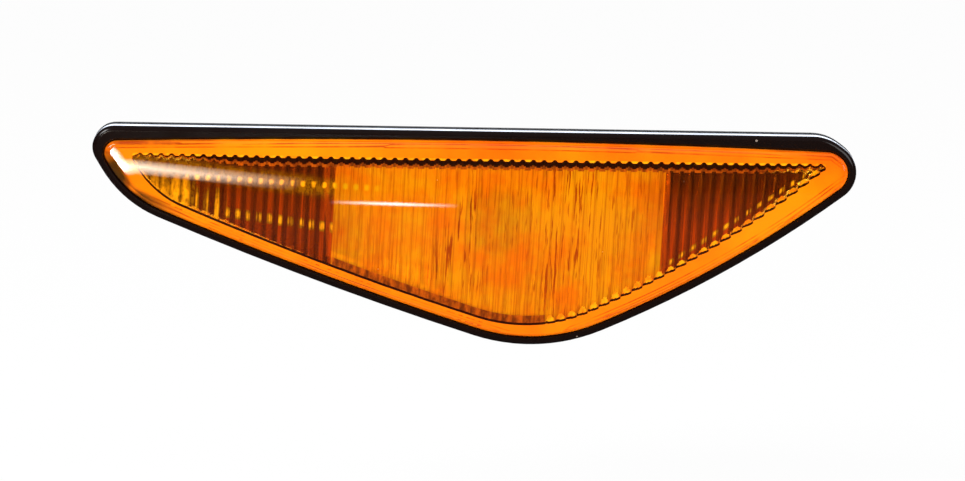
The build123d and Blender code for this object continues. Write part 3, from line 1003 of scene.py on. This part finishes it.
def amber_frosted(place):
    """Finely textured amber on the inside of the lens border.

    It has painted shadow next to the rim and two faint lines of painted shade along its edge,
    is paler at the upper left, and carries a painted dark reflection of the rim at the nose.
    """
    parts = axes(place)
    texture = placed(grain, place, Fine=2600.0, Broad=60.0)
    breaks = ranged(noise(place, 220.0), 0.38, 0.6, 0.2, 0.85)
    attribute = place.id_data.nodes.new("ShaderNodeAttribute")
    attribute.attribute_name = "edge_gap"
    gap = attribute.outputs["Fac"]
    # Painted shadow next to the rim, then two faint lines of painted shade along the edge
    lines = ranged(gap, 0.1, 0.5, 0.9, 0.0)
    for depth in (0.95, 1.5):
        lines = largest(lines, ranged(distance(gap, depth), 0.05, 0.16, 1.0, 0.0))
    upper = times(ranged_mm(parts["Z"], 10.0, 14.0), ranged_mm(parts["X"], -60.0, -5.0, 0.35, -0.2))
    pale = plus(ranged(texture["Share"], 0.36, 0.64, 0.2, 0.8), upper)
    # Painted dark reflection of the rim at the nose
    nose = times(
        ranged_mm(parts["X"], -67.0, -58.0, 1.0, 0.0),
        ranged_mm(parts["Z"], 13.5, 16.0, 1.0, 0.0),
        ranged(gap, 1.2, 2.1, 1.0, 0.0),
    )
    colour = tinted(pale, (0.86, 0.22, 0.006), (1.0, 0.5, 0.012))
    colour = tinted(times(lines, breaks), colour, (0.45, 0.05, 0.004))
    colour = tinted(nose, colour, (0.03, 0.006, 0.002))
    normal = bumped(texture["Height"], 0.2, 0.00005)
    return dict(Base_Color=colour, Roughness=0.45, IOR=ACRYLIC_IOR, Normal=normal)


def black_moulding(place):
    """Black gloss plastic of the housing, a little dusty, duller and grained behind the panel."""
    texture = placed(grain, place, Fine=5000.0, Broad=110.0)
    specks = placed(dust, place, Spread=330.0, Size=0.14, Amount=0.12)["Mask"]
    behind = ranged_mm(axes(place)["Y"], -3.2, -2.8)
    body = tinted(behind, (0.006, 0.0022, 0.0015), (0.02, 0.019, 0.018))
    gloss = ranged(texture["Share"], 0.3, 0.7, 0.12, 0.26)
    dull = ranged(texture["Share"], 0.3, 0.7, 0.36, 0.5)
    return dict(
        Specular_IOR_Level=0.3,
        Base_Color=tinted(specks, body, (0.25, 0.2, 0.17)),
        Roughness=between(behind, gloss, dull),
        Normal=bumped(times(texture["Height"], behind), 0.25, 0.00004),
    )


def silvered(place):
    """Vacuum-silvered plastic with upright waves and duller upright streaks."""
    waves = noise(place, detail=2.0, stretch=(700.0, 700.0, 80.0))
    streaks = noise(place, roughness=0.6, stretch=(1500.0, 600.0, 110.0))
    blotches = noise(place, 220.0)
    bright = tinted(blotches, (0.8, 0.78, 0.74), (0.97, 0.97, 0.96))
    dull = ranged(streaks, 0.52, 0.66, 0.0, 0.8)
    return dict(
        Metallic=1.0,
        Base_Color=tinted(dull, bright, (0.42, 0.36, 0.3)),
        Roughness=ranged(blotches, 0.3, 0.7, 0.06, 0.2),
        Normal=bumped(waves, 0.6, 0.0004),
    )


def foam_rubber(place):
    """Matt black closed-cell rubber with open pores on its cut faces."""
    pores = placed(dust, place, Spread=1500.0, Size=0.6, Amount=0.7)["Mask"]
    texture = placed(grain, place, Fine=3500.0, Broad=150.0)
    base = tinted(texture["Share"], (0.018, 0.018, 0.018), (0.035, 0.034, 0.033))
    colour = tinted(pores, base, (0.008, 0.008, 0.008))
    normal = bumped(minus(texture["Height"], pores), 0.5, 0.00008)
    return dict(Base_Color=colour, Roughness=0.85, Normal=normal)


def grey_nylon(place):
    """Matt grey glass-filled nylon of the bulb holder."""
    texture = placed(grain, place, Fine=4200.0, Broad=160.0)
    fibres = noise(place, detail=2.0, roughness=0.6, stretch=(900.0, 250.0, 900.0))
    base = tinted(texture["Share"], (0.34, 0.34, 0.345), (0.42, 0.42, 0.425))
    flecks = ranged(fibres, 0.6, 0.75, 0.0, 0.35)
    return dict(
        Base_Color=tinted(flecks, base, (0.55, 0.55, 0.55)),
        Roughness=ranged(texture["Share"], 0.3, 0.7, 0.42, 0.6),
        Normal=bumped(texture["Height"], 0.3, 0.00005),
    )


def bright_brass(place):
    """Stamped brass strip with fine drawing lines along it."""
    lines = noise(place, roughness=0.6, stretch=(4000.0, 120.0, 4000.0))
    return dict(
        Metallic=1.0,
        Base_Color=tinted(lines, (0.62, 0.45, 0.2), (0.78, 0.6, 0.31)),
        Roughness=ranged(lines, 0.3, 0.7, 0.2, 0.36),
        Normal=bumped(lines, 0.15, 0.00002),
    )


def clear_glass(place):
    """Clear drawn glass of the bulb, with faint draw lines."""
    lines = noise(place, detail=2.0, stretch=(700.0, 40.0, 700.0))
    return dict(
        IOR=GLASS_IOR,
        Transmission_Weight=1.0,
        Base_Color=tinted(lines, (0.96, 0.98, 0.98), (1.0, 1.0, 1.0)),
        Roughness=0.0,
        Normal=bumped(lines, 0.05, 0.00005),
    )


def lamp_wire(place):
    """Drawn lamp wire, a little oxidised."""
    tone = noise(place, 1800.0)
    colour = tinted(tone, (0.4, 0.39, 0.37), (0.62, 0.6, 0.57))
    roughness = ranged(tone, 0.3, 0.7, 0.25, 0.4)
    return dict(Metallic=1.0, Base_Color=colour, Roughness=roughness)


# Pieces

# Wedge bulb, in millimetres: depths Y along it, half sizes, and how square its rings are
BULB_TIP = -3.0
BULB_SIDE_BACK = 12.6
PINCH_FRONT = 15.0
PINCH_BACK = 23.8
BULB_RADIUS = 5.15
BULB_TIP_ROUND = 4.6
BULB_WALL = 0.6
HOLLOW_RADIUS = 4.55
PINCH_HALF = (4.75, 1.05)
PINCH_END_HALF = (4.5, 0.85)
PINCH_EDGE = 0.3
HOLLOW_TIP_ROUND = 4.2
HOLLOW_SIDE_BACK = BULB_SIDE_BACK - 1.4
HOLLOW_NECK = 0.3
HOLLOW_NECK_HALVES = ((4.2, 3.6), (3.4, 1.6))
ROUND, SQUARE = 2.0, 8.0
TIP_RINGS = 12
NECK_RINGS = 6
LENS_CREASE = 28.0
BULB_CREASE = 50.0


def make_lens(finishes):
    """The fluted amber lens, in place of the plainer CAD one."""
    tree, ids = flute_tree(finishes)
    values = {ids[name]: FLUTE_SIZES[name] for name in ("Pitch", "Swell")}
    lens = grown("amber_lens", lens_base_mesh(), tree, values)
    tidy_mesh(lens, LENS_CREASE)
    marks = ("flute_u", "flute_w", "top_gap", "low_gap", "fluted", "frosted")
    for name in marks + ("shade", "bead_glint", "end_shade", "top_bead_glint", "bright_end"):
        lens.data.attributes.remove(lens.data.attributes[name])
    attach(lens, "lamp")
    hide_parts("lens")


def lofted(name, sections):
    """Closed skin over rings of points that all have the same count, with its two ends fanned shut."""
    count = len(sections[0])
    points = [point for ring in sections for point in ring]
    faces = []
    for row in range(len(sections) - 1):
        a, b = row * count, (row + 1) * count
        for i, j in loop_edges(0, count):
            faces.append((a + i, a + j, b + j, b + i))
    for row in (0, len(sections) - 1):
        points.append(tuple(np.mean(np.array(sections[row]), axis=0)))
        tip = len(points) - 1
        faces += [(i, j, tip) for i, j in loop_edges(row * count, count)]
    mesh = bpy.data.meshes.new(name)
    mesh.from_pydata(points, [], faces)
    return add_object(name, mesh)


def ring_of(y, half_x, half_z, squareness, count=48):
    """Ring about the bulb's axis, from round (2) to nearly square (more)."""
    ring = []
    for index in range(count):
        angle = 2 * math.pi * index / count
        c, s = math.cos(angle), math.sin(angle)
        x = half_x * math.copysign(abs(c) ** (2 / squareness), c)
        z = half_z * math.copysign(abs(s) ** (2 / squareness), s)
        ring.append((x * MM, y * MM, z * MM))
    return ring


def bulb_sections(radius, tip_y, tip_round, side_back):
    """Rings of a tube with a domed tip."""
    sections = []
    for step in range(1, TIP_RINGS + 1):
        angle = math.pi / 2 * step / TIP_RINGS
        y = tip_y + tip_round * (1 - math.cos(angle))
        sections.append(ring_of(y, radius * math.sin(angle), radius * math.sin(angle), ROUND))
    sections.append(ring_of(side_back, radius, radius, ROUND))
    return sections


def make_bulb(glass):
    """Smooth wedge bulb: domed envelope drawn down into a flat pinch, with its hollow inside."""
    skin = bulb_sections(BULB_RADIUS, BULB_TIP, BULB_TIP_ROUND, BULB_SIDE_BACK)
    for step in range(1, NECK_RINGS + 1):
        share = step / NECK_RINGS
        ease = share * share * (3 - 2 * share)
        y = BULB_SIDE_BACK + (PINCH_FRONT - BULB_SIDE_BACK) * share
        half_x, half_z = (BULB_RADIUS + (half - BULB_RADIUS) * ease for half in PINCH_HALF)
        skin.append(ring_of(y, half_x, half_z, ROUND + (SQUARE - ROUND) * ease))
    skin.append(ring_of(PINCH_BACK - PINCH_EDGE, *PINCH_HALF, SQUARE))
    skin.append(ring_of(PINCH_BACK, *PINCH_END_HALF, SQUARE))
    outside = lofted("wedge_bulb", skin)
    hollow = bulb_sections(HOLLOW_RADIUS, BULB_TIP + BULB_WALL, HOLLOW_TIP_ROUND, HOLLOW_SIDE_BACK)
    for shift, halves in zip((-HOLLOW_NECK, HOLLOW_NECK), HOLLOW_NECK_HALVES):
        hollow.append(ring_of(BULB_SIDE_BACK + shift, *halves, ROUND))
    inside = lofted("bulb_hollow", hollow)
    tidy_mesh(outside, BULB_CREASE)
    tidy_mesh(inside, BULB_CREASE)
    inside.data.flip_normals()
    work = bmesh.new()
    work.from_mesh(outside.data)
    work.from_mesh(inside.data)
    work.to_mesh(outside.data)
    work.free()
    bpy.data.objects.remove(inside)
    smoothed(outside, BULB_CREASE)
    outside.data.materials.append(glass)
    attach(outside, "bulb_holder")
    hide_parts("bulb_glass")


def make_filament(wire):
    """Coiled filament between the tips of the leads."""
    tree, ids = coil_tree(wire)
    low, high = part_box("filament")
    values = {ids["Length"]: (high.x - low.x) - COIL_ROOM, ids["Centre"]: tuple((low + high) / 2)}
    coil = grown("filament_coil", bpy.data.meshes.new("coil_seed"), tree, values)
    coil.data.shade_smooth()
    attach(coil, "bulb_holder")
    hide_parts("filament")


def finish_node(name, material):
    """Gives a CAD node its material."""
    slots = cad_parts[name].data.materials
    slots.clear()
    slots.append(material)


# Stage, light and camera

FLOOR_Z = -0.062
FLOOR_REACH = 6.0
FLOOR_WHITE = 0.9
ROOM_LIGHT = 0.8
ELEVATION = math.radians(8.0)
FOCAL = 135.0
SENSOR = 36.0
PHOTO_WIDTH = 965
PHOTO_HEIGHT = 481
PIXEL = 144.0 / 763.0 * MM
AXIS_PIXEL = (497.0, 234.0)
LENS_MIDDLE = (0.0, -0.008, 0.006)


def ray_shares(tree):
    """Whether a place is seen, straight or through a clear piece, and whether it is mirrored."""
    path = tree.nodes.new("ShaderNodeLightPath").outputs
    seen = largest(path["Is Camera Ray"], path["Is Transmission Ray"])
    mirrored = largest(minus(path["Is Glossy Ray"], path["Is Transmission Ray"]), 0.0)
    return seen, mirrored


def make_floor():
    """Plain pale floor, well under the lamp, which a panel holds up in use."""
    mesh = bpy.data.meshes.new("floor")
    ways = [(-FLOOR_REACH, -FLOOR_REACH), (FLOOR_REACH, -FLOOR_REACH)]
    corners = [(x, y, FLOOR_Z) for x, y in ways + [(-x, -y) for x, y in ways]]
    mesh.from_pydata(corners, [], [(0, 1, 2, 3)])
    floor = add_object("floor", mesh)
    material, tree, shader = new_material("pale_floor")
    seen, mirrored = ray_shares(tree)
    colour = tinted(mirrored, (0.95, 0.95, 0.95), (0.06, 0.06, 0.06))
    fed(shader, Base_Color=colour, Roughness=0.9, Specular_IOR_Level=0.0)
    white = new_node(tree, "ShaderNodeEmission", Strength=1.0)
    surfaced(times(seen, FLOOR_WHITE), shader, white)
    floor.data.materials.append(material)


def make_world():
    """Soft white room: white to the camera and through clear pieces, dimmer in reflections."""
    world = bpy.data.worlds.new("studio")
    bpy.context.scene.world = world
    world.use_nodes = True
    tree = world.node_tree
    way = axes(tree.nodes.new("ShaderNodeTexCoord").outputs["Generated"])
    high = ranged(way["Z"], 0.0, 0.8, 0.02, 0.2)
    behind = ranged(way["Y"], 0.72, 0.92, 0.0, 4.0)
    seen, mirrored = ray_shares(tree)
    plain = times(minus(1.0, mirrored), largest(seen, ROOM_LIGHT))
    fed(
        tree.nodes["Background"],
        Strength=plus(times(mirrored, largest(high, behind)), plain),
        Color=tinted(mirrored, (1.0, 1.0, 1.0), (0.82, 0.88, 1.0)),
    )


def area_lamp(name, place, size, power, roll=0.0):
    """Rectangular lamp that faces the lens; size is its width and height, roll turns it in degrees."""
    data = bpy.data.lights.new(name, "AREA")
    data.shape = "RECTANGLE"
    data.size, data.size_y = size
    data.energy = power
    lamp = add_object(name, data)
    lamp.location = place
    lamp.rotation_mode = "QUATERNION"
    facing = (Vector(LENS_MIDDLE) - Vector(place)).to_track_quat("-Z", "Y")
    lamp.rotation_quaternion = facing @ Quaternion((0.0, 0.0, 1.0), math.radians(roll))
    return data


def soft_strip(name, place, size, level, roll, lean=0.0, tint=(1.0, 1.0, 1.0)):
    """Narrow lamp that fades towards its edges; lean, from -1 to 1, moves its brightest part along."""
    data = area_lamp(name, place, size, math.pi * size[0] * size[1] * level, roll)
    data.color = tint
    data.use_nodes = True
    tree = data.node_tree
    spot = axes(tree.nodes.new("ShaderNodeNewGeometry").outputs["Parametric"])
    fades = []
    for axis, middle in (("X", 0.5 + lean / 2), ("Y", 0.5)):
        reach = 0.5 + abs(middle - 0.5)
        fades.append(ranged(distance(spot[axis], middle), 0.0, reach, 1.0, 0.0))
    fed(tree.nodes["Emission"], Strength=times(*fades))


def make_lamps():
    """Soft key lamp from the upper left, a broad fill from the right, and strips for the highlights."""
    area_lamp("key_lamp", (-0.6, -0.7, 0.6), (0.35, 0.35), 6.0)
    area_lamp("fill_lamp", (0.7, -0.8, 0.4), (0.6, 0.6), 4.0)
    soft_strip("line_strip", (-0.047, -0.5, -0.0145), (0.062, 0.0072), 34.0, -6.0)
    soft_strip("nose_strip", (-0.184, -0.49, 0.068), (0.078, 0.011), 80.0, -73.0)
    warm = (1.0, 0.86, 0.68)
    soft_strip("glow_strip", (-0.138, -0.5, 0.033), (0.1, 0.024), 30.0, -19.0, -0.8, warm)


def make_camera():
    """Long lens, looking slightly down on the front of the lamp, framed as the photo is."""
    right = Vector((1.0, 0.0, 0.0))
    up = Vector((0.0, math.sin(ELEVATION), math.cos(ELEVATION)))
    back = Vector((0.0, -math.cos(ELEVATION), math.sin(ELEVATION)))
    rim = Vector((0.0, RIM_FRONT * MM, 0.0))
    across = (PHOTO_WIDTH / 2 - AXIS_PIXEL[0]) * PIXEL
    down = (PHOTO_HEIGHT / 2 - AXIS_PIXEL[1]) * PIXEL
    distance_back = PHOTO_WIDTH * PIXEL * FOCAL / SENSOR
    data = bpy.data.cameras.new("camera")
    data.lens = FOCAL
    data.sensor_width = SENSOR
    data.clip_start = 0.01
    data.clip_end = 50.0
    camera = add_object("camera", data)
    camera.location = rim + right * across - up * down + back * distance_back
    camera.rotation_mode = "QUATERNION"
    camera.rotation_quaternion = (-back).to_track_quat("-Z", "Y")
    bpy.context.scene.camera = camera


clear_amber = made_of(amber_clear, AMBER_LIGHT)
make_lens({
    "Clear": clear_amber,
    "Fluted": amber_fluted(),
    "Shade": made_of(amber_shade),
    "Bead Glint": made_of(amber_bead_glint),
    "Flute End": made_of(amber_end_shade),
    "Frosted": made_of(amber_frosted),
})
make_bulb(made_of(clear_glass, GLASS_LIGHT))
wire = made_of(lamp_wire)
make_filament(wire)
for material, nodes in (
    (clear_amber, ("lens",)),
    (made_of(black_moulding), ("housing",)),
    (made_of(silvered), ("reflector",)),
    (made_of(foam_rubber), ("body_gasket", "holder_seal")),
    (made_of(grey_nylon), ("bulb_holder",)),
    (made_of(bright_brass), ("terminal_upper", "terminal_lower")),
    (wire, ("bulb_glass", "filament", "lead_wire_upper", "lead_wire_lower")),
):
    for node in nodes:
        finish_node(node, material)

make_floor()
make_world()
make_lamps()
make_camera()
bpy.context.scene.view_settings.view_transform = "Standard"
